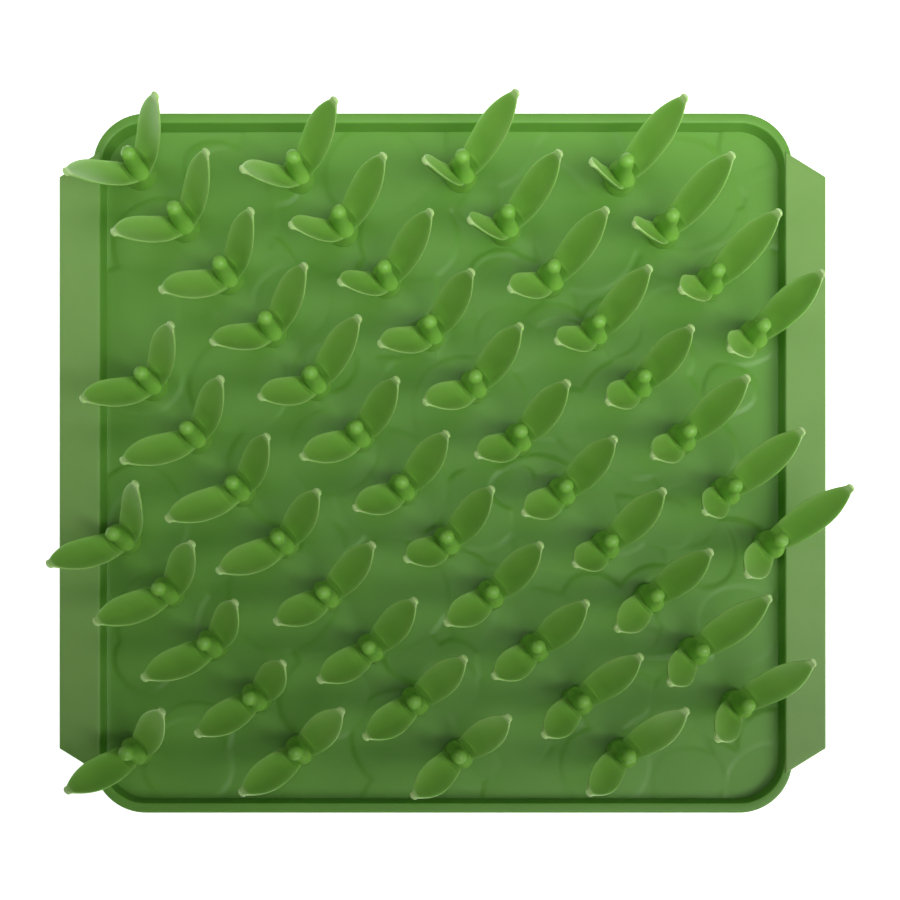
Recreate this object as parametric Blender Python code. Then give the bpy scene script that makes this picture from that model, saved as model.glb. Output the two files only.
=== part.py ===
"""Snuffle mat: one moulding of soft green silicone.

A shallow square tray with a rounded rim, a grip flange along its left and right edges, and 49 sprouts
standing on the floor. Each sprout is a thick stem that narrows like a bell into a round-topped bud, and two
broad leaves that spread in a V from the stem. The origin is the centre of the underside, +Z up, +Y the back.
"""

import math

import bmesh
import bpy
from mathutils import Matrix, Vector

MM = 0.001

# Driving dimensions, in millimetres
TRAY_SIDE = 256.0  # over the rim, both ways
POCKET_X = 250.0  # inside the rim, at its top
POCKET_Y = 248.5
RIM_HEIGHT = 8.0
FLOOR_TOP = 2.5
WALL_DRAFT = 1.0  # how much nearer the middle the wall's foot is than its top
CORNER_RADIUS = 18.0
POCKET_RADIUS = 15.0
CORNER_STEPS = 6

FLANGE_OUT = 140.0  # from the middle to a flange's outer edge
FLANGE_IN = 125.2
FLANGE_INNER_LENGTH = 227.2
FLANGE_OUTER_LENGTH = 208.8
FLANGE_THICK = 3.0
FLANGE_STEP = 0.5  # how far a flange stands above the rim

FIRST_SPROUT = (-111.5, 107.5)
ROW_STEP = (16.14, -19.45)  # from a sprout to the next one down its diagonal
DIAGONAL_STEP = (59.23, -0.59)
ODD_SHIFT = (-0.82, -0.77)  # every second diagonal sits this far off
ROWS = 12
LEFTMOST, RIGHTMOST = -120.0, 123.0
LEAF_BEARING = 39.4  # degrees from +X, for the leaf towards the back right

STEM_FOOT = 1.5  # how deep a stem's mesh starts inside the floor
SPROUT_SIDES = 8
LEAF_ROOT_OUT, LEAF_ROOT_UP = 2.6, 4.0
LEAF_TIP_OUT, LEAF_TIP_UP = 21.1, 42.0
LEAF_BEND = 0.15  # 0 for a straight leaf, 1 for one that leaves the stem upright
LEAF_DISH = 0.3  # how far a leaf's long edges bend in, towards the bud

# A sprout's turned body, from the stem's foot up to the bud's round top
BODY_PROFILE = (
    # radius, height over the floor
    (5.8, -STEM_FOOT),
    (5.6, 6.8),
    (4.4, 8.6),
    (3.1, 12.0),
    (2.7, 19.8),
    (1.5, 22.0),
)

# A leaf from root to nib: share of the way along, width, thickness at its middle
LEAF_STATIONS = (
    # along, width, thick
    (0.00, 7.6, 2.8),
    (0.28, 10.6, 2.2),
    (0.56, 11.0, 1.9),
    (0.82, 7.2, 1.7),
    (1.00, 2.6, 1.4),
)

GREEN = (0.17, 0.36, 0.075, 1.0)


def clear_scene():
    for thing in list(bpy.data.objects):
        bpy.data.objects.remove(thing)


def silicone():
    material = bpy.data.materials.new("green_silicone")
    material.use_nodes = True
    shader = material.node_tree.nodes["Principled BSDF"]
    shader.inputs["Base Color"].default_value = GREEN
    shader.inputs["Roughness"].default_value = 0.45
    shader.inputs["Metallic"].default_value = 0.0
    material.diffuse_color = GREEN
    return material


def object_of(name, bm):
    """Turn a bmesh in millimetres into an object in metres, its faces pointing out."""
    bmesh.ops.recalc_face_normals(bm, faces=bm.faces)
    bmesh.ops.scale(bm, vec=(MM, MM, MM), verts=bm.verts)
    mesh = bpy.data.meshes.new(name)
    bm.to_mesh(mesh)
    bm.free()
    thing = bpy.data.objects.new(name, mesh)
    bpy.context.scene.collection.objects.link(thing)
    return thing


def join_rings(bm, rings):
    """Skin a stack of equal rings of points, and close both of its ends."""
    loops = [[bm.verts.new(point) for point in ring] for ring in rings]
    count = len(loops[0])
    for low, high in zip(loops, loops[1:]):
        for i in range(count):
            j = (i + 1) % count
            bm.faces.new((low[i], low[j], high[j], high[i]))
    bm.faces.new(loops[0][::-1])
    bm.faces.new(loops[-1])


def rounded_square(half_x, half_y, radius, height):
    """The outline of a rectangle with round corners, anticlockwise, at one height."""
    points = []
    for quarter, (side_x, side_y) in enumerate(((1, 1), (-1, 1), (-1, -1), (1, -1))):
        for step in range(CORNER_STEPS + 1):
            angle = math.radians(90 * (quarter + step / CORNER_STEPS))
            x = side_x * (half_x - radius) + radius * math.cos(angle)
            y = side_y * (half_y - radius) + radius * math.sin(angle)
            points.append(Vector((x, y, height)))
    return points


def make_tray():
    """Floor and rim: up the outside, over the rim, down the drafted inner wall."""
    outside = TRAY_SIDE / 2
    inside_x, inside_y = POCKET_X / 2, POCKET_Y / 2
    bm = bmesh.new()
    join_rings(bm, (
        rounded_square(outside, outside, CORNER_RADIUS, 0),
        rounded_square(outside, outside, CORNER_RADIUS, RIM_HEIGHT),
        rounded_square(inside_x, inside_y, POCKET_RADIUS, RIM_HEIGHT),
        rounded_square(inside_x - WALL_DRAFT, inside_y - WALL_DRAFT, POCKET_RADIUS, FLOOR_TOP),
    ))
    return object_of("mat", bm)


def make_flange(side):
    """A flat grip over the rim and out past it, with its outer corners cut off."""
    top = RIM_HEIGHT + FLANGE_STEP
    inner, outer = FLANGE_INNER_LENGTH / 2, FLANGE_OUTER_LENGTH / 2
    plan = ((FLANGE_IN, -inner), (FLANGE_OUT, -outer), (FLANGE_OUT, outer), (FLANGE_IN, inner))
    bm = bmesh.new()
    join_rings(bm, [
        [Vector((side * x, y, z)) for x, y in plan] for z in (top - FLANGE_THICK, top)
    ])
    return object_of("flange", bm)


def make_sprout_body():
    """Stem and bud, turned around the sprout's own axis."""
    bm = bmesh.new()
    join_rings(bm, [
        [
            Vector((radius * math.cos(turn), radius * math.sin(turn), height))
            for turn in (math.tau * i / SPROUT_SIDES for i in range(SPROUT_SIDES))
        ]
        for radius, height in BODY_PROFILE
    ])
    return object_of("sprout", bm)


def leaf_point(along):
    """A leaf's centre line: how far out and up, and the unit direction along it."""
    reach, rise = LEAF_TIP_OUT - LEAF_ROOT_OUT, LEAF_TIP_UP - LEAF_ROOT_UP
    out = LEAF_ROOT_OUT + reach * ((1 - LEAF_BEND) * along + LEAF_BEND * along**2)
    up = LEAF_ROOT_UP + rise * along
    slope = Vector((reach * (1 - LEAF_BEND + 2 * LEAF_BEND * along), 0, rise)).normalized()
    return Vector((out, 0, up)), slope


def make_leaf(bearing):
    """A slender blade: each section has two long edges, an inner and an outer middle."""
    bm = bmesh.new()
    rings = []
    across = Vector((0, 1, 0))
    for along, width, thick in LEAF_STATIONS:
        middle, slope = leaf_point(along)
        inward = slope.cross(across)
        dish = LEAF_DISH * width / LEAF_STATIONS[1][1]
        rings.append((
            middle + across * width / 2 + inward * dish,
            middle + inward * thick * 0.3,
            middle - across * width / 2 + inward * dish,
            middle - inward * thick * 0.7,
        ))
    join_rings(bm, rings)
    bmesh.ops.rotate(bm, matrix=Matrix.Rotation(math.radians(bearing), 3, "Z"), verts=bm.verts)
    return object_of("leaf", bm)


def unite(thing, others):
    """Add a Boolean union with each of the others, which are kept out of the build."""
    for other in others:
        other.hide_render = True
        other.display_type = "WIRE"
        union = thing.modifiers.new(f"join_{other.name}", "BOOLEAN")
        union.operation = "UNION"
        union.solver = "EXACT"
        union.object = other


def mesh_of(thing):
    """The mesh of an object with its modifiers applied."""
    bpy.context.view_layer.update()
    depsgraph = bpy.context.evaluated_depsgraph_get()
    return bpy.data.meshes.new_from_object(thing.evaluated_get(depsgraph))


def sprout_places():
    """Where the sprouts stand: diagonals of a lattice, clipped to the tray."""
    places = []
    for row in range(ROWS):
        for diagonal in range(-ROWS, ROWS):
            odd = diagonal % 2
            x = FIRST_SPROUT[0] + ROW_STEP[0] * row + DIAGONAL_STEP[0] * diagonal + ODD_SHIFT[0] * odd
            y = FIRST_SPROUT[1] + ROW_STEP[1] * row + DIAGONAL_STEP[1] * diagonal + ODD_SHIFT[1] * odd
            if LEFTMOST <= x <= RIGHTMOST:
                places.append((x, y))
    return places


def make_sprouts():
    """All the sprouts in one guide object, standing on the tray's floor."""
    sprout = make_sprout_body()
    leaves = [make_leaf(LEAF_BEARING + turn) for turn in (0, 180)]
    unite(sprout, leaves)
    one = mesh_of(sprout)
    for guide in (sprout, *leaves):
        bpy.data.objects.remove(guide)

    bm = bmesh.new()
    for x, y in sprout_places():
        before = len(bm.verts)
        bm.from_mesh(one)
        bm.verts.ensure_lookup_table()
        place = Vector((x, y, FLOOR_TOP)) * MM
        bmesh.ops.translate(bm, vec=place, verts=bm.verts[before:])
    bmesh.ops.scale(bm, vec=(1 / MM, 1 / MM, 1 / MM), verts=bm.verts)
    return object_of("sprouts", bm)


clear_scene()
mat = make_tray()
unite(mat, [make_flange(-1), make_flange(1), make_sprouts()])
mat.data.materials.append(silicone())
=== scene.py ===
import math

import bpy
import numpy as np
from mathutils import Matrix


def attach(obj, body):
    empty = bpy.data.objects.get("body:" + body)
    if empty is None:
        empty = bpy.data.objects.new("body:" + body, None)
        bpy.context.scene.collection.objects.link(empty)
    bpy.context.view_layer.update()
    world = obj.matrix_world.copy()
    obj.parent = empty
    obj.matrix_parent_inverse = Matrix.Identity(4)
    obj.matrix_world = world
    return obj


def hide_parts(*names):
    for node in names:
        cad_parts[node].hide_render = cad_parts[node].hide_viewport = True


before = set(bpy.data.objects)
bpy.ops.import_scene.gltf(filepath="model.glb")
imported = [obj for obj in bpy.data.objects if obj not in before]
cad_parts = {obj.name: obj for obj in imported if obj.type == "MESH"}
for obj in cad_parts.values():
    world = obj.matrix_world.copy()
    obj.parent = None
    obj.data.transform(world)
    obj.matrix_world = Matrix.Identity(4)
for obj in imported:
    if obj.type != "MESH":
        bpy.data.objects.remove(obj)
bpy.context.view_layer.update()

# ---- The tray -------------------------------------------------------------------------------------
# A shallow square dish, the body of the mat. Liquid silicone with a green pigment is pressed and cured
# in a heated steel mould, so the floor, its low relief of pebbles, the wall and the rim are one piece.
# It lies loose on the table on its flat, plain underside.

MM = 0.001
TRAY_HALF = 128.0  # from the middle to the outside of the rim, in millimetres
POCKET_HALF_X, POCKET_HALF_Y = 125.0, 124.25  # to the inner edge of the rim
TRAY_CORNER, POCKET_CORNER = 19.4, 16.4
RIM_WIDTH = 3.375  # the mean of the two rim widths
RIM_HEIGHT, FLOOR_HEIGHT = 8.0, 2.5
WALL_FOOT = 4.375  # how far in from the outside the drafted wall meets the floor
INNER_ROUND, OUTER_ROUND, UNDER_ROUND = 0.6, 0.9, 0.5
HOLD_INNER, HOLD = 0.4, 0.5  # how far from a rounding an extra ring keeps the flat side flat
WALL_BOW = 0.03  # how far the wall's two extra rings stand off its top and foot
SHARP_OVER = math.radians(50)  # edges that turn by more than this are shaded sharp
FLOOR_CELLS = 268  # grid cells along each side of the floor

PEBBLE_STEP = 1.3  # how wide the soft step round a pebble is
PEBBLE_LOW, PEBBLE_HIGH, PEBBLE_CROWN = 0.12, 0.75, 0.25
PEBBLE_OVAL, PEBBLE_WAVE = 1.04, 0.5  # how oval a pebble is, and how far its edge waves in and out
PEBBLE_CLEAR, PEBBLE_FADE = 0.3, 1.2  # how far in from the rim they start, and over what width they rise
FILLER_PEBBLES, FILLER_REACH, FILLER_RADII = 120, 125, (9, 21)
PLACED_SHARE, PLACED_RISE = 0.55, 0.25  # the placed pebbles' levels vary less, and lie higher
PEBBLES = (
    # x, y, radius, each lying over the ones above it in this list
    (-25, 108, 19),
    (-116, 56, 19),
    (17, 118, 17),
    (-94, -110, 17),
    (110, 60, 24),
    (10, 20, 22),
    (-80, 90, 20),
    (-75, 30, 19),
    (88, 100, 22),
    (127, 94, 16),
    (112, 118, 11),
    (53, 83, 20),
    (24, 46, 13),
    (73, 18, 24),
    (-61, -12, 11),
    (-19, -8, 22),
    (-40, 5, 17),
    (-44, -29, 9),
    (-109, -23, 15),
    (-16, -49, 19),
    (-59, -49, 21),
    (-44, -86, 17),
    (49, -68, 18),
    (89, -55, 10),
    (110, -59, 16),
    (60, -112, 17),
    (29, -123, 15),
    (91, -117, 14),
    (120, -118, 16),
)


def smooth_step(share):
    """0 below 0, 1 above 1 and 3s² - 2s³ between them."""
    share = np.clip(share, 0, 1)
    return share * share * (3 - 2 * share)


def pebble_relief(x, y):
    """Height of the pebbles at each point: one disc after another is laid over what is there. A disc has a
    level of its own and a crown (1 - r²/R²), and takes over along a soft step at its edge, which waves with
    sin(3 angle)."""
    dice = np.random.default_rng(41)
    low = (-FILLER_REACH, -FILLER_REACH, FILLER_RADII[0])
    high = (FILLER_REACH, FILLER_REACH, FILLER_RADII[1])
    filler = dice.uniform(low, high, (FILLER_PEBBLES, 3))
    stones = np.concatenate([filler, np.array(PEBBLES, float)])
    levels = dice.uniform(PEBBLE_LOW, PEBBLE_HIGH, len(stones))
    levels[FILLER_PEBBLES:] = PEBBLE_LOW + PLACED_SHARE * levels[FILLER_PEBBLES:] + PLACED_RISE
    relief = np.zeros_like(x)
    for (stone_x, stone_y, radius), level in zip(stones, levels):
        away = np.hypot(x - stone_x, (y - stone_y) * PEBBLE_OVAL)
        away = away + PEBBLE_WAVE * np.sin(3 * np.arctan2(y - stone_y, x - stone_x) + stone_x)
        cover = smooth_step((radius - away) / PEBBLE_STEP)
        crown = PEBBLE_CROWN * np.clip(1 - (away / radius) ** 2, 0, 1)
        relief += cover * (level + crown - relief)
    return relief


def into_tray(u, v, half_x, half_y, corner):
    """Carries points of the square from -1 to 1 into a rectangle with round corners. They are only scaled,
    but in a corner the shares (a, b) of the way into it go to (a sqrt(1 - b²/2), b sqrt(1 - a²/2)), which
    turns the corner's square into a quarter of a disc."""
    start_u, start_v = 1 - corner / half_x, 1 - corner / half_y
    a = np.clip((abs(u) - start_u) / (1 - start_u), 0, None)
    b = np.clip((abs(v) - start_v) / (1 - start_v), 0, None)
    x = np.minimum(abs(u), start_u) * half_x + corner * a * np.sqrt(1 - b**2 / 2)
    y = np.minimum(abs(v), start_v) * half_y + corner * b * np.sqrt(1 - a**2 / 2)
    return np.copysign(x, u), np.copysign(y, v)


def round_corner(middle, radius, start, end, steps):
    """A round corner of a section, as (inward, height): a circle's arc from one angle to another, where
    0 degrees points inwards and 90 degrees points up."""
    turn = np.radians(np.linspace(start, end, steps))
    return np.stack([middle[0] + radius * np.cos(turn), middle[1] + radius * np.sin(turn)], 1)


def tray_section():
    """The tray's edge from the floor over the rim to the underside, as (inward from the outside, height)."""
    inner = (RIM_WIDTH - INNER_ROUND, RIM_HEIGHT - INNER_ROUND)
    outer = (OUTER_ROUND, RIM_HEIGHT - OUTER_ROUND)
    under = (UNDER_ROUND, UNDER_ROUND)
    return np.concatenate([
        [(WALL_FOOT, FLOOR_HEIGHT), (WALL_FOOT - WALL_BOW, FLOOR_HEIGHT + HOLD)],
        [(RIM_WIDTH + WALL_BOW, RIM_HEIGHT - INNER_ROUND - HOLD_INNER)],
        round_corner(inner, INNER_ROUND, 0, 90, 4),
        round_corner(outer, OUTER_ROUND, 90, 180, 5),
        [(0.0, RIM_HEIGHT - OUTER_ROUND - HOLD), (0.0, UNDER_ROUND + HOLD)],
        round_corner(under, UNDER_ROUND, 180, 270, 4),
    ])


def tray_ring(u, v, inward):
    """The tray's outline a distance in from its outside: its sizes and corners go evenly from those of the
    outside to those of the pocket."""
    share = inward / RIM_WIDTH
    half_x = TRAY_HALF + share * (POCKET_HALF_X - TRAY_HALF)
    half_y = TRAY_HALF + share * (POCKET_HALF_Y - TRAY_HALF)
    corner = TRAY_CORNER + share * (POCKET_CORNER - TRAY_CORNER)
    return into_tray(u, v, half_x, half_y, corner)


def strips(first, second):
    """Quads between two rows of vertex numbers that close on themselves, both anticlockwise from above."""
    return np.stack([first, second, np.roll(second, -1), np.roll(first, -1)], 1)


def mesh_piece(name, points, faces, material):
    """A smooth mesh object from points in millimetres and lists of corner numbers, facing outwards."""
    mesh = bpy.data.meshes.new(name)
    mesh.from_pydata(points * MM, [], faces)
    mesh.shade_smooth()
    mesh.set_sharp_from_angle(angle=SHARP_OVER)
    mesh.materials.append(material)
    piece = bpy.data.objects.new(name, mesh)
    bpy.context.scene.collection.objects.link(piece)
    return piece


def make_tray():
    """The floor is a square grid carried into the pocket's outline, with the pebbles as its height. The
    grid's edge is then carried along the section, one ring at each station. One flat face closes the last."""
    across = np.linspace(-1, 1, FLOOR_CELLS + 1)
    u, v = (side.ravel() for side in np.meshgrid(across, across))
    section = tray_section()
    x, y = tray_ring(u, v, section[0, 0])
    wall_gap = np.minimum(POCKET_HALF_X - abs(x), POCKET_HALF_Y - abs(y))
    relief = pebble_relief(x, y)
    relief = (relief - relief.mean()) * smooth_step((wall_gap - PEBBLE_CLEAR) / PEBBLE_FADE)
    points = [np.stack([x, y, FLOOR_HEIGHT + relief], 1)]

    number = np.arange(len(u)).reshape(FLOOR_CELLS + 1, FLOOR_CELLS + 1)
    cells = np.stack([number[:-1, :-1], number[:-1, 1:], number[1:, 1:], number[1:, :-1]], 2)
    faces = cells.reshape(-1, 4).tolist()
    edge = np.concatenate([number[0, :-1], number[:-1, -1], number[-1, :0:-1], number[:0:-1, 0]])
    ring = edge
    for inward, height in section[1:]:
        x, y = tray_ring(u[edge], v[edge], inward)
        points.append(np.stack([x, y, np.full_like(x, height)], 1))
        following = np.arange(len(edge)) + sum(len(rows) for rows in points[:-1])
        faces += strips(ring, following).tolist()
        ring = following
    faces.append(ring[::-1].tolist())
    return mesh_piece("tray", np.concatenate(points), faces, tray_silicone())


def fill(tree, socket, value):
    """Fills a node's input: another node's output is linked to it, and anything else is set."""
    if isinstance(value, bpy.types.NodeSocket):
        tree.links.new(value, socket)
    else:
        socket.default_value = value


def wire(tree, kind, **inputs):
    """Adds a node and fills its inputs by name, with _ for a space."""
    node = tree.nodes.new(kind)
    for name, value in inputs.items():
        fill(tree, node.inputs[name.replace("_", " ")], value)
    return node


def mixed(tree, share, first, second):
    """A colour that goes from the first to the second as the share goes from 0 to 1."""
    mix = tree.nodes.new("ShaderNodeMix")
    mix.data_type = "RGBA"
    # a Mix node's inputs 6 and 7 and its output 2 are the ones for colours
    for number, value in ((0, share), (6, first), (7, second)):
        fill(tree, mix.inputs[number], value)
    return mix.outputs[2]


def silicone_shader(name):
    """A material with the gloss and depth of soft silicone. Its colour is wired in by the caller."""
    material = bpy.data.materials.new(name)
    material.use_nodes = True
    shader = material.node_tree.nodes["Principled BSDF"]
    shader.inputs["IOR"].default_value = 1.43
    shader.inputs["Specular IOR Level"].default_value = 0.5
    shader.inputs["Subsurface Weight"].default_value = 0.35
    shader.inputs["Subsurface Radius"].default_value = (0.5, 1.0, 0.22)
    shader.inputs["Subsurface Scale"].default_value = 0.0022
    return material, shader


def mould_grain(tree, shader, place, grain_size, depth):
    """The faint blasted grain of the mould as bump, and the same grain as small changes of roughness."""
    grain = wire(tree, "ShaderNodeTexNoise", Vector=place, Scale=1 / grain_size, Detail=3.0, Roughness=0.6)
    bump = wire(tree, "ShaderNodeBump", Height=grain.outputs["Fac"], Strength=0.6, Distance=depth)
    tree.links.new(bump.outputs["Normal"], shader.inputs["Normal"])
    satin = wire(tree, "ShaderNodeMapRange", Value=grain.outputs["Fac"], To_Min=0.36, To_Max=0.50)
    tree.links.new(satin.outputs["Result"], shader.inputs["Roughness"])


def tray_silicone():
    """Mid green, with the slow clouding of a pigment that was stirred in by hand."""
    material, shader = silicone_shader("green_silicone_tray")
    tree = material.node_tree
    place = tree.nodes.new("ShaderNodeTexCoord").outputs["Object"]
    cloud = wire(tree, "ShaderNodeTexNoise", Vector=place, Scale=22.0, Detail=4.0, Roughness=0.55)
    green = mixed(tree, cloud.outputs["Fac"], (0.119, 0.308, 0.040, 1), (0.152, 0.360, 0.055, 1))
    fill(tree, shader.inputs["Base Color"], green)
    mould_grain(tree, shader, place, 0.0009, 0.00003)
    return material


tray = make_tray()
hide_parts("mat")
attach(tray, "root")

# ---- The grip flanges -----------------------------------------------------------------------------
# A flat lip along the left and the right edge, to lift the mat by. Each grows out of the rim in the same
# moulding, lies half a millimetre over it, and has its two outer corners cut off.

FLANGE_OUT, FLANGE_IN = 140.0, 125.2
FLANGE_INNER_HALF, FLANGE_OUTER_HALF = 113.6, 104.4  # half its length, inside and outside
FLANGE_TOP, FLANGE_THICK = 8.5, 3.0
FLANGE_ROUND = 0.55
FLANGE_FACE = 1.6  # how far in from its outline the flat faces start
FLANGE_STEPS, FLANGE_MEANS = 60, 3  # points along each of its four sides, and moving means over them


def flange_outline(side, inset):
    """A flange's outline, anticlockwise from above: its four sides are moved in by the inset and their
    crossings joined with points, which a short moving mean rounds at the corners."""
    slope = FLANGE_INNER_HALF - FLANGE_OUTER_HALF
    depth = FLANGE_OUT - FLANGE_IN
    slant = math.hypot(slope, depth)
    # a cut corner's side moved in by the inset crosses x = const lower by inset * slant / depth
    x = np.array([FLANGE_IN + inset, FLANGE_OUT - inset])
    half = FLANGE_INNER_HALF - (x - FLANGE_IN) * slope / depth - inset * slant / depth
    corners = np.array([(x[0], -half[0]), (x[1], -half[1]), (x[1], half[1]), (x[0], half[0])])
    ends = np.roll(corners, -1, axis=0)
    share = np.linspace(0, 1, FLANGE_STEPS, endpoint=False)
    share = 0.5 - 0.5 * np.cos(np.pi * share)  # closer together near the corners
    outline = (corners[:, None] + (ends - corners)[:, None] * share[None, :, None]).reshape(-1, 2)
    for _ in range(FLANGE_MEANS):
        outline = (np.roll(outline, 1, 0) + 2 * outline + np.roll(outline, -1, 0)) / 4
    outline[:, 0] *= side
    return outline if side > 0 else outline[::-1]


def make_flange(name, side, material):
    """The outline at growing and shrinking insets: up the round lower edge, the side and the round upper
    edge. The first and the last ring close it with one flat face each."""
    under, top = FLANGE_TOP - FLANGE_THICK, FLANGE_TOP
    lower = round_corner((FLANGE_ROUND, under + FLANGE_ROUND), FLANGE_ROUND, 270, 180, 4)
    upper = round_corner((FLANGE_ROUND, top - FLANGE_ROUND), FLANGE_ROUND, 180, 90, 5)
    section = np.concatenate([[(FLANGE_FACE, under)], lower, upper, [(FLANGE_FACE, top)]])
    points, faces = [], []
    for inset, height in section:
        outline = flange_outline(side, inset)
        points.append(np.column_stack([outline, np.full(len(outline), height)]))
    count = len(points[0])
    for station in range(len(section) - 1):
        ring = np.arange(count) + station * count
        faces += strips(ring + count, ring).tolist()
    faces.append(np.arange(count)[::-1].tolist())
    faces.append((np.arange(count) + (len(section) - 1) * count).tolist())
    return mesh_piece(name, np.concatenate(points), faces, material)


def flange_silicone():
    """The tray's green, a touch paler all over as a painted sheen, standing in for the soft gloss that the
    raised flat flanges catch, with a finer grain.
    """
    material, shader = silicone_shader("green_silicone_flange")
    tree = material.node_tree
    place = tree.nodes.new("ShaderNodeTexCoord").outputs["Object"]
    cloud = wire(tree, "ShaderNodeTexNoise", Vector=place, Scale=30.0, Detail=4.0, Roughness=0.55)
    # painted sheen: the flange's whole green is paler than the tray's, for the gloss its flat top catches
    green = mixed(tree, cloud.outputs["Fac"], (0.180, 0.352, 0.082, 1), (0.217, 0.396, 0.106, 1))
    fill(tree, shader.inputs["Base Color"], green)
    mould_grain(tree, shader, place, 0.0006, 0.00002)
    return material


flange_green = flange_silicone()
for name, side in (("flange_left", -1), ("flange_right", 1)):
    flange = make_flange(name, side, flange_green)
    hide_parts("mat")
    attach(flange, "root")

# ---- The sprouts ----------------------------------------------------------------------------------
# 49 soft sprouts that hide the food, moulded on the floor in slanting rows. Each has a thick stem that
# narrows like a bell into a round-topped bud, and two dished leaves spread in a V. The leaves are thin and
# let light through, and their edges and the blunt nibs at their tips are painted paler as a glow of that
# light.

FIRST_SPROUT = (-111.5, 107.5)
ROW_STEP = (16.14, -19.45)
DIAGONAL_STEP = (59.23, -0.59)
ODD_SHIFT = (-0.82, -0.77)
ROWS = 12
LEFTMOST, RIGHTMOST = -120.0, 123.0

CAMERA_PLACE = (-0.00095, -0.07939, 0.50174)  # in metres; it looks straight down
CAMERA_LENS, CAMERA_SHIFT = 54.04, (0.0111, 0.2556)
PHOTO_SIDE, SENSOR = 900, 36.0

LEAF_BEARING = 39.4  # which way a sprout's right leaf lies, from +X; the left one lies opposite
LEAF_TIPS = (
    # where each sprout's leaf tips are in the photo: left leaf's x and y, right leaf's x and y
    (64, 172, 156, 93), (241, 170, 336, 98), (424, 161, 518, 90), (591, 163, 687, 95),
    (112, 233, 207, 150), (290, 226, 385, 154), (469, 221, 561, 151), (634, 225, 734, 153),
    (160, 291, 252, 209), (339, 283, 432, 210), (509, 290, 608, 208), (680, 291, 781, 210),
    (211, 343, 306, 264), (379, 345, 473, 270), (556, 342, 651, 266), (729, 350, 824, 271),
    (81, 400, 172, 323), (259, 398, 360, 316), (424, 403, 522, 324), (607, 403, 693, 326),
    (121, 462, 222, 377), (301, 458, 398, 378), (476, 456, 569, 381), (652, 457, 749, 376),
    (166, 520, 268, 435), (354, 509, 448, 432), (523, 514, 616, 437), (704, 513, 804, 429),
    (47, 565, 136, 482), (217, 572, 319, 490), (405, 560, 493, 487), (574, 565, 665, 489),
    (746, 576, 853, 486),
    (94, 623, 193, 542), (275, 623, 374, 543), (445, 624, 542, 543), (616, 630, 712, 550),
    (142, 679, 236, 601), (318, 681, 416, 599), (493, 677, 588, 601), (669, 684, 771, 596),
    (196, 735, 284, 662), (364, 738, 466, 657), (543, 736, 642, 655), (716, 740, 815, 661),
    (65, 792, 163, 710), (240, 794, 343, 709), (412, 797, 510, 716), (588, 794, 688, 709),
)

BUD_RADIUS, BUD_MIDDLE = 2.7, 19.8  # the round top's radius, and its centre's height over the floor
STEM_RADIUS, STEM_HEIGHT, STEM_EDGE = 5.6, 6.9, 0.5  # the last is the rounding of its top edge
STEM_FOOT = (
    # how much wider than its top the stem is, and at what height over the floor
    (0.35, -1.2),
    (0.20, 0.3),
    (0.08, 3.5),
)
BELL_START, BELL_END = 0.8, 1.0  # how far over the stem, and under the bud's middle, the bell's rings are
BELL_STEP = 0.05  # how much narrower the bell starts than the stem's rounding ends
FLARE = 2.6  # over how many millimetres upwards the bell loses most of its width
BELL_PINCH, PINCH_RISE = 0.8, 1.2  # the share of its flare it loses towards the leaves, and over what height
BODY_SIDES = 30

LEAF_ROOT_OUT, LEAF_ROOT_UP = 2.4, 4.0
LEAF_TIP_UP = 42.0
LEAF_BEND = 0.15
LEAF_WIDTH, ROOT_WIDTH, NIB_WIDTH = 11.9, 8.0, 3.2
LEAF_WIDEST, NIB_START, NIB_END = 0.47, 0.96, 0.985  # shares of the way along it
LEAF_THICK, ROOT_THICKER, TIP_THINNER = 1.55, 1.5, 0.15  # the last two are added and taken off at its ends
ROOT_SHARE, DISH_SHARE = 0.32, 0.35  # over what share of the leaf its root thins, and its dish deepens
LEAF_SET = 0.2  # the share of its thickness that a leaf is set outwards
LEAF_DISH, DISH_OUT = 1.6, 0.95  # how deep it is dished, and the share of it that its middle bulges out
LEAF_SAG = 0.3  # how far its middle hangs over towards the mat's front right corner
NIB_BEAD, NIB_REACH = 0.4, 0.7  # a nib's extra thickness, and how far it shows past its middle
ROOT_BEAD = 0.3  # the height of the fine ridge across a leaf's root
NIB_BEAD_AT, ROOT_BEAD_AT, BEAD_LENGTH = 0.978, 0.165, 0.014  # shares of the way along it
# painted glow: the next two set how much paler a leaf's long edges and its nib are painted, for light passing
# through the thin silicone
EDGE_PALE = 0.55  # how pale a leaf's long edges are, where 1 is as pale as its nib
NIB_PALE_FROM, NIB_PALE_OVER = 0.92, 0.05  # from where and over what share of its length the nib turns pale
BEND_SPREAD, TWIST_SPREAD = 0.04, 2.5  # how much leaves differ in bend, and in twist in degrees
LEAF_SIDES = 24
LEAF_STATIONS = np.concatenate([
    np.linspace(0, 0.11, 4),
    np.linspace(0.135, 0.2, 6),
    np.linspace(0.24, 0.93, 17),
    (0.95, 0.965, 0.975, 0.985, 0.993, 1.0),
])


def body_section():
    """The stem's and the bud's section as (radius, height over the floor): a stem sunk in the floor, a small
    round edge, the bell that narrows as e^(-h / FLARE) up into the bud, and the bud's half-round top."""
    foot = np.array(STEM_FOOT) + (STEM_RADIUS, 0)
    edge = round_corner((STEM_RADIUS - STEM_EDGE, STEM_HEIGHT), STEM_EDGE, 0, 60, 4)
    rise = np.linspace(BELL_START, BUD_MIDDLE - STEM_HEIGHT - BELL_END, 11)
    flare = STEM_RADIUS - STEM_EDGE - BELL_STEP - BUD_RADIUS
    bell = BUD_RADIUS + flare * np.exp((BELL_START - rise) / FLARE)
    dome = round_corner((0, BUD_MIDDLE), BUD_RADIUS, 0, 86, 8)
    return np.concatenate([foot, edge, np.stack([bell, STEM_HEIGHT + rise], 1), dome])


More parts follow.
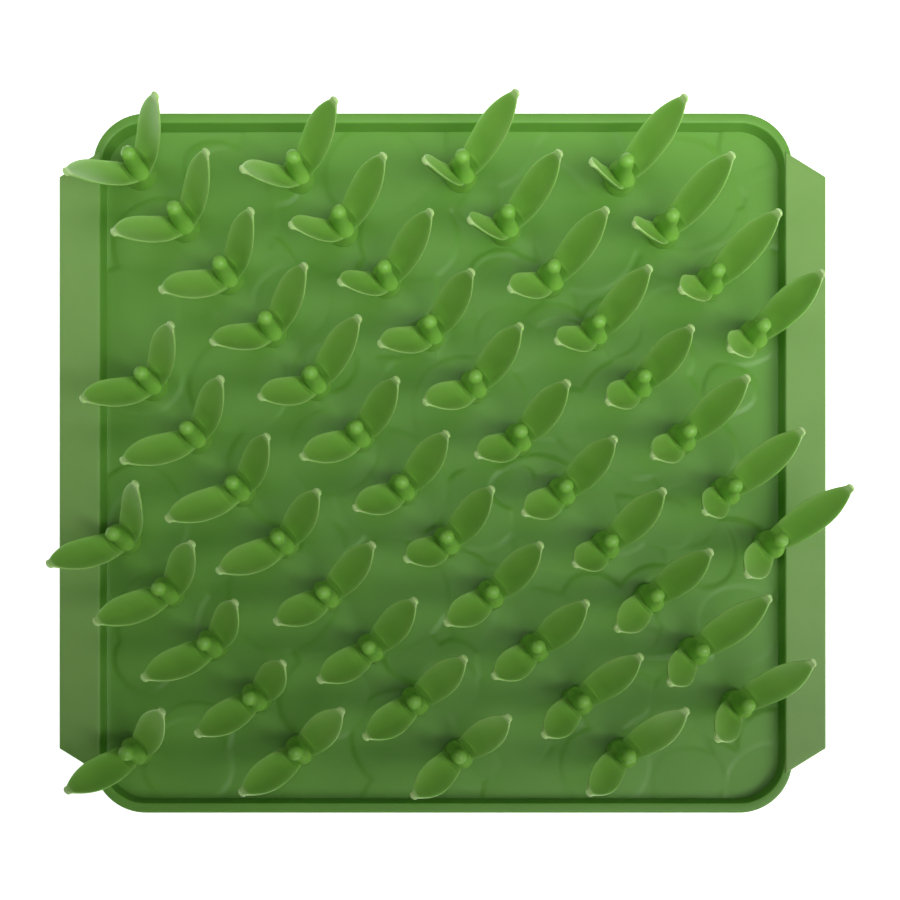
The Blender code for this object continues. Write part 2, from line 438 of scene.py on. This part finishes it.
def sprout_body():
    """The section turned around the upright axis: (radius cos t, radius sin t, height), as rings of points.
    Over the stem, where the bell is pressed flat between the roots of the two leaves, the radius loses
    BELL_PINCH cos²(t - bearing) of what it is wider than the bud."""
    turn = np.arange(BODY_SIDES) * math.tau / BODY_SIDES
    radius, height = np.split(body_section(), 2, axis=1)
    over_stem = smooth_step((height - STEM_HEIGHT + PINCH_RISE) / PINCH_RISE)
    flare = np.clip(radius - BUD_RADIUS, 0, None) * over_stem
    radius = radius - BELL_PINCH * flare * np.cos(turn - math.radians(LEAF_BEARING)) ** 2
    return np.stack([radius * np.cos(turn), radius * np.sin(turn), height + 0 * turn], 2)


def leaf_width(along):
    """The leaf's outline: it swells as 1 - (1 - s)² from the root to its widest place, narrows as
    1 - s^2.4 to the nib, keeps the nib's width, and closes as sqrt(1 - 0.75 s²) at the very tip."""
    swell = np.clip(along / LEAF_WIDEST, 0, 1)
    fall = np.clip((along - LEAF_WIDEST) / (NIB_START - LEAF_WIDEST), 0, 1)
    width = ROOT_WIDTH + (LEAF_WIDTH - ROOT_WIDTH) * (1 - (1 - swell) ** 2)
    width = width - (LEAF_WIDTH - NIB_WIDTH) * fall**2.4
    tip = np.clip((along - NIB_END) / (1 - NIB_END), 0, 1)
    return width * np.sqrt(1 - 0.75 * tip**2)


def bead(along, place):
    """A short swelling across a leaf: e^-((t - place) / BEAD_LENGTH)²."""
    return np.exp(-(((along - place) / BEAD_LENGTH) ** 2))


def leaf_rings(bearing, tip, bend, twist):
    """A leaf as rings of points, and its painted glow at each: the long edges and the nib are painted paler,
    for light passing through the thin silicone. Along it, the middle runs out as (1 - bend) t + bend t², up
    as t, and aside as t^1.5 to the tip's place, with a sag of 4 t (1 - t). Around it, each section is a flat
    oval of the leaf's width and thickness, bent in towards the bud by the dish times (share of the half
    width)². The root is thicker by (1 - t / ROOT_SHARE)^1.5."""
    along = LEAF_STATIONS[:, None]
    turn = np.arange(LEAF_SIDES)[None, :] * math.tau / LEAF_SIDES
    aside = np.copysign(abs(np.cos(turn)) ** 0.8, np.cos(turn))
    through = np.copysign(abs(np.sin(turn)) ** 0.8, np.sin(turn))

    heading = math.radians(bearing)
    tip_out = tip[0] * math.cos(heading) + tip[1] * math.sin(heading)
    tip_aside = tip[1] * math.cos(heading) - tip[0] * math.sin(heading)
    reach, rise = tip_out - LEAF_ROOT_OUT, LEAF_TIP_UP - LEAF_ROOT_UP
    out = LEAF_ROOT_OUT + reach * ((1 - bend) * along + bend * along**2)
    up = LEAF_ROOT_UP + rise * along
    slope_out = reach * (1 - bend + 2 * bend * along)
    length = np.hypot(slope_out, rise)
    in_out, in_up = -rise / length, slope_out / length  # the direction in towards the bud

    width = leaf_width(along)
    root = np.clip(1 - along / ROOT_SHARE, 0, 1)
    thick = LEAF_THICK + ROOT_THICKER * root**1.5 - TIP_THINNER * along
    thick = thick + NIB_BEAD * bead(along, NIB_BEAD_AT)
    dish = LEAF_DISH * width / LEAF_WIDTH
    bulge = dish * DISH_OUT * smooth_step(along / DISH_SHARE)
    ridge = ROOT_BEAD * bead(along, ROOT_BEAD_AT) * np.clip(through, 0, None) * (1 - aside**2)
    inward = dish * aside**2 - bulge + through * thick / 2 + ridge - LEAF_SET * thick
    sideways = aside * width / 2
    lean = np.radians(twist) * along
    inward, sideways = (
        inward * np.cos(lean) + sideways * np.sin(lean),
        sideways * np.cos(lean) - inward * np.sin(lean),
    )
    sag = LEAF_SAG * 4 * along * (1 - along)
    sideways = sideways + tip_aside * along**1.5 - sag * math.copysign(1, math.cos(heading))
    x, y, z = out + inward * in_out, sideways, up + inward * in_up
    # painted glow: paler long edges and nib, standing in for light that passes through the thin silicone
    painted_glow = EDGE_PALE * abs(aside) ** 5 + smooth_step((along - NIB_PALE_FROM) / NIB_PALE_OVER)
    rings = np.stack([
        x * math.cos(heading) - y * math.sin(heading),
        x * math.sin(heading) + y * math.cos(heading),
        z + 0 * x,
    ], 2)
    return rings, np.clip(painted_glow, 0, 1) + 0 * x


def sprout_places():
    """The sprouts' places: diagonals of a lattice, every second one shifted a little, clipped to the tray."""
    row, diagonal = (n.ravel() for n in np.meshgrid(np.arange(ROWS), np.arange(-ROWS, ROWS), indexing="ij"))
    odd = diagonal % 2
    x = FIRST_SPROUT[0] + ROW_STEP[0] * row + DIAGONAL_STEP[0] * diagonal + ODD_SHIFT[0] * odd
    y = FIRST_SPROUT[1] + ROW_STEP[1] * row + DIAGONAL_STEP[1] * diagonal + ODD_SHIFT[1] * odd
    inside = (LEFTMOST <= x) & (x <= RIGHTMOST)
    return row[inside], np.stack([x, y, np.full_like(x, FLOOR_HEIGHT)], 1)[inside]


def ring_faces(stations, around, first):
    """Faces of a closed stack of rings whose points start at a vertex number: quads and two end caps."""
    number = first + np.arange(stations * around).reshape(stations, around)
    quads = np.concatenate([strips(number[k + 1], number[k]) for k in range(stations - 1)])
    return quads.tolist() + [number[0, ::-1].tolist(), number[-1].tolist()]


def under_pixel(pixels, height):
    """Where the camera's rays through pixels of the photo meet a height, in millimetres: a pixel's distance
    from the point straight under the camera, over the focal length, times how far down the height is."""
    focal = CAMERA_LENS * PHOTO_SIDE / SENSOR
    nadir = PHOTO_SIDE * np.array([0.5 - CAMERA_SHIFT[0], 0.5 + CAMERA_SHIFT[1]])
    away = (pixels - nadir) * (1, -1) / focal * (CAMERA_PLACE[2] / MM - height)
    return np.array(CAMERA_PLACE[:2]) / MM + away


def leaf_tips(places):
    """The two leaf tips of each sprout, from its place: they are all LEAF_TIP_UP over the floor, and the end
    of a nib is NIB_REACH past the middle of its tip."""
    pixels = np.array(LEAF_TIPS, float).reshape(-1, 2)
    ends = under_pixel(pixels, FLOOR_HEIGHT + LEAF_TIP_UP)
    ends = ends.reshape(-1, 2, 2) - places[:, None, :2]
    return ends * (1 - NIB_REACH / np.linalg.norm(ends, axis=2, keepdims=True))


def make_sprout_row(name, places, tips, dice, material):
    """One row of sprouts in one mesh, with two attributes for the material: the painted glow at each point,
    which makes a leaf's edges and nib paler, and whether the point is a leaf's. Each leaf differs a little in
    bend and twist."""
    points, painted_glow, leaf, faces, first = [], [], [], [], 0
    for place, (left, right) in zip(places, tips):
        body = sprout_body()
        parts = [(body, np.zeros(body.shape[:2]))]
        for bearing, tip in ((LEAF_BEARING + 180, left), (LEAF_BEARING, right)):
            bend, twist = dice.normal((LEAF_BEND, 0), (BEND_SPREAD, TWIST_SPREAD))
            parts.append(leaf_rings(bearing, tip, bend, twist))
        for rings, part_glow in parts:
            stations, around = rings.shape[:2]
            points.append(rings.reshape(-1, 3) + place)
            painted_glow.append(part_glow.ravel())
            leaf.append(np.full(stations * around, float(rings is not body)))
            faces += ring_faces(stations, around, first)
            first += stations * around
    piece = mesh_piece(name, np.concatenate(points), faces, material)
    for key, values in (("painted_glow", painted_glow), ("leaf", leaf)):
        layer = piece.data.attributes.new(key, "FLOAT", "POINT")
        layer.data.foreach_set("value", np.concatenate(values).astype(np.float32))
    return piece


def sprout_silicone():
    """Yellower than the tray, and pale at the leaves' edges and nibs: both are painted glow, standing in for
    the light that passes through the thin leaves. To a shadow ray the leaves are partly clear, so their
    shadows are weaker than a stem's."""
    material, shader = silicone_shader("green_silicone_sprout")
    tree = material.node_tree
    place = tree.nodes.new("ShaderNodeTexCoord").outputs["Object"]
    cloud = wire(tree, "ShaderNodeTexNoise", Vector=place, Scale=60.0, Detail=3.0, Roughness=0.5)
    # painted glow: the whole sprout's green is yellower than the tray's, for light passing through the leaves
    green = mixed(tree, cloud.outputs["Fac"], (0.162, 0.395, 0.049, 1), (0.214, 0.450, 0.068, 1))
    painted_glow = tree.nodes.new("ShaderNodeAttribute")
    painted_glow.attribute_name = "painted_glow"
    # the painted glow mixes a pale green into the leaves' edges and nibs
    pale = mixed(tree, painted_glow.outputs["Fac"], green, (0.40, 0.60, 0.22, 1))
    fill(tree, shader.inputs["Base Color"], pale)
    mould_grain(tree, shader, place, 0.0007, 0.00002)

    leaf = tree.nodes.new("ShaderNodeAttribute")
    leaf.attribute_name = "leaf"
    ray = tree.nodes.new("ShaderNodeLightPath")
    passing = tree.nodes.new("ShaderNodeMath")
    passing.operation = "MULTIPLY"
    tree.links.new(leaf.outputs["Fac"], passing.inputs[0])
    tree.links.new(ray.outputs["Is Shadow Ray"], passing.inputs[1])
    clear = wire(tree, "ShaderNodeBsdfTransparent", Color=(0.40, 0.52, 0.28, 1))
    blend = wire(tree, "ShaderNodeMixShader", Fac=passing.outputs["Value"])
    tree.links.new(shader.outputs["BSDF"], blend.inputs[1])
    tree.links.new(clear.outputs["BSDF"], blend.inputs[2])
    tree.links.new(blend.outputs["Shader"], tree.nodes["Material Output"].inputs["Surface"])
    return material


sprout_green = sprout_silicone()
leaf_dice = np.random.default_rng(7)
row_numbers, sprout_points = sprout_places()
sprout_tips = leaf_tips(sprout_points)
for row in range(ROWS):
    here = row_numbers == row
    sprouts = make_sprout_row(
        f"sprout_row_{row + 1:02d}", sprout_points[here], sprout_tips[here], leaf_dice, sprout_green
    )
    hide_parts("mat")
    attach(sprouts, "root")

# ---- The studio -----------------------------------------------------------------------------------
# A seamless white table, large soft lamps all round, the strongest at the right, and a camera that looks
# straight down. The light dims towards the mat's near edge, as in the photo.

TABLE_HALF, TABLE_UNDER = 4.0, 0.0001  # its half width, and how far it lies under the mat, in metres

LAMP_AWAY, LAMP_CONE = 1.2, math.radians(66)  # how far away every lamp is, in metres, and its full angle
LAMP_AIM = (0.07, 0.575, 0.0)  # the point past the mat's far edge that every lamp is turned to
LAMPS = (
    # name, bearing, degrees over the table, watts, radius
    ("key", -5, 46, 101, 0.50),
    ("front", 302, 61, 40, 0.50),
    ("top", 40, 76, 18, 0.40),
    ("back", 88, 66, 17, 0.40),
    ("left", 153, 28, 44, 0.50),
)


def table_white():
    """White card: it glows a little, so that it stays white where the light falls off."""
    material = bpy.data.materials.new("white_card")
    material.use_nodes = True
    tree = material.node_tree
    shader = tree.nodes["Principled BSDF"]
    place = tree.nodes.new("ShaderNodeTexCoord").outputs["Object"]
    fibre = wire(tree, "ShaderNodeTexNoise", Vector=place, Scale=300.0, Detail=2.0)
    bump = wire(tree, "ShaderNodeBump", Height=fibre.outputs["Fac"], Strength=0.2, Distance=0.0001)
    tree.links.new(bump.outputs["Normal"], shader.inputs["Normal"])
    shader.inputs["Base Color"].default_value = (0.94, 0.94, 0.94, 1)
    shader.inputs["Roughness"].default_value = 0.8
    shader.inputs["Specular IOR Level"].default_value = 0.1
    shader.inputs["Emission Color"].default_value = (1, 1, 1, 1)
    shader.inputs["Emission Strength"].default_value = 0.85
    return material


def soft_spot(name, bearing, height_angle, power, radius):
    """A round soft lamp, LAMP_AWAY from the mat in a direction given in degrees from +X and over the table.
    It is turned to a point past the mat's far edge, so its cone dims evenly towards the near edge."""
    lamp = bpy.data.lights.new(name, "SPOT")
    lamp.spot_size = LAMP_CONE
    lamp.spot_blend = 1.0
    lamp.shadow_soft_size = radius
    lamp.energy = power
    light = bpy.data.objects.new(name, lamp)
    bpy.context.scene.collection.objects.link(light)
    turn, rise = math.radians(bearing), math.radians(height_angle)
    place = np.array([math.cos(turn) * math.cos(rise), math.sin(turn) * math.cos(rise), math.sin(rise)])
    place = LAMP_AWAY * place
    way = np.array(LAMP_AIM) - place
    light.location = place
    light.rotation_euler = (
        math.atan2(math.hypot(way[0], way[1]), -way[2]), 0, math.atan2(way[0], -way[1]) + math.pi
    )
    return light


table = bpy.data.objects.new("table", bpy.data.meshes.new("table"))
table.data.from_pydata(
    [(x * TABLE_HALF, y * TABLE_HALF, -TABLE_UNDER) for x, y in ((-1, -1), (1, -1), (1, 1), (-1, 1))],
    [],
    [(0, 1, 2, 3)],
)
table.data.materials.append(table_white())
bpy.context.scene.collection.objects.link(table)

for lamp_row in LAMPS:
    soft_spot(*lamp_row)

world = bpy.data.worlds.new("studio")
world.use_nodes = True
# the backdrop is nearly white to look at, but gives hardly any light
seen = world.node_tree.nodes.new("ShaderNodeLightPath")
glow = wire(
    world.node_tree, "ShaderNodeMapRange", Value=seen.outputs["Is Camera Ray"], To_Min=0.02, To_Max=0.9
)
backdrop = world.node_tree.nodes["Background"]
fill(world.node_tree, backdrop.inputs["Color"], (1, 1, 1, 1))
fill(world.node_tree, backdrop.inputs["Strength"], glow.outputs["Result"])
bpy.context.scene.world = world

camera = bpy.data.objects.new("camera", bpy.data.cameras.new("camera"))
camera.data.lens = CAMERA_LENS
camera.data.shift_x, camera.data.shift_y = CAMERA_SHIFT
camera.data.clip_start = 0.01
camera.location = CAMERA_PLACE
bpy.context.scene.collection.objects.link(camera)
bpy.context.scene.camera = camera
bpy.context.scene.view_settings.view_transform = "Standard"
